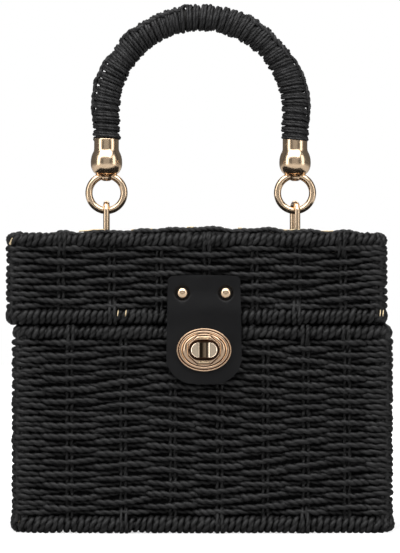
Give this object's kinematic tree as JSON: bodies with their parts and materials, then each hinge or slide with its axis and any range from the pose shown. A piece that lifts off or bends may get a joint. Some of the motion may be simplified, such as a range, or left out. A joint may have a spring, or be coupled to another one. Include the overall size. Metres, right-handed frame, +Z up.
{
  "type": "basket box bag",
  "caption": "Rectangular woven cord handbag with a lashed hinged lid, leather turn-lock tab, ring-hung arched handle and cloth lining.",
  "frame": {"origin": "under the middle of the box, on the flat that its base rim rests on", "axes": "+Z up, the front with the lock faces -Y, +X to the right of someone looking at the front"},
  "size_m": [0.2042, 0.1107, 0.2785],
  "materials": {
    "cord": "black two-ply twisted paper cord, satin, woven",
    "handle_cord": "black two-ply twisted paper cord, satin, wound close",
    "lining": "black plain-weave cotton lining",
    "leather": "black smooth leather with a faint fine grain",
    "gold_metal": "polished pale gold plating",
    "lock_metal": "polished rose gold plating",
    "wire": "brass-coated drawn steel wire, dull",
    "fitting_steel": "plain pressed steel",
    "core": "bent plastic cane"
  },
  "bodies": {
    "basket": {"body_frame": "wire", "body_weave": "cord", "body_binding_top": "cord", "body_binding_bottom": "cord", "body_lining": "lining", "lock_base": "lock_metal", "lock_base_washer": "fitting_steel"},
    "knob": {"turn_knob": "lock_metal", "detent_spring": "fitting_steel"},
    "lid": {"lid_frame": "wire", "lid_weave": "cord", "lid_binding_top": "cord", "lid_binding_bottom": "cord", "lid_lining": "lining", "hinge_loop_left": "cord", "hinge_loop_right": "cord", "leather_tab": "leather", "tab_rivets": "gold_metal", "rivet_washers": "fitting_steel", "staple_left": "gold_metal", "staple_right": "gold_metal", "staple_plate_left": "fitting_steel", "staple_plate_right": "fitting_steel"},
    "lock_tab": {"lock_plate": "lock_metal", "lock_plate_back": "fitting_steel"},
    "ring_left": {"ring_left": "gold_metal"},
    "ring_right": {"ring_right": "gold_metal"},
    "handle": {"handle_core": "core", "handle_wrap": "handle_cord", "cap_left": "gold_metal", "cap_right": "gold_metal"}
  },
  "joints": [
    {"name": "lid_hinge", "type": "hinge", "parent": "basket", "child": "lid", "pos_m": [0, 0.0465, 0.1041], "axis": [-1, 0, 0], "range_deg": [0, 110]},
    {"name": "tab_swing", "type": "hinge", "parent": "lid", "child": "lock_tab", "pos_m": [0.0009, -0.051, 0.118], "axis": [-1, 0, 0], "range_deg": [0, 75], "deforming": ["leather_tab"]},
    {"name": "knob_turn", "type": "hinge", "parent": "basket", "child": "knob", "pos_m": [0.0009, -0.056, 0.0952], "axis": [0, -1, 0], "range_deg": [0, 90]},
    {"name": "ring_left_swing", "type": "hinge", "parent": "lid", "child": "ring_left", "pos_m": [-0.0511, 0, 0.1683], "axis": [1, 0, 0], "range_deg": [-62, 62]},
    {"name": "ring_right_swing", "type": "hinge", "parent": "lid", "child": "ring_right", "pos_m": [0.0495, 0, 0.1683], "axis": [1, 0, 0], "range_deg": [-62, 62]},
    {"name": "handle_swing", "type": "hinge", "parent": "ring_left", "child": "handle", "pos_m": [-0.0511, 0, 0.18702], "axis": [1, 0, 0], "range_deg": [-40, 40]}
  ],
  "couplings": [
    {"joint": "ring_right_swing", "follows": "ring_left_swing", "ratio": 1}
  ]
}
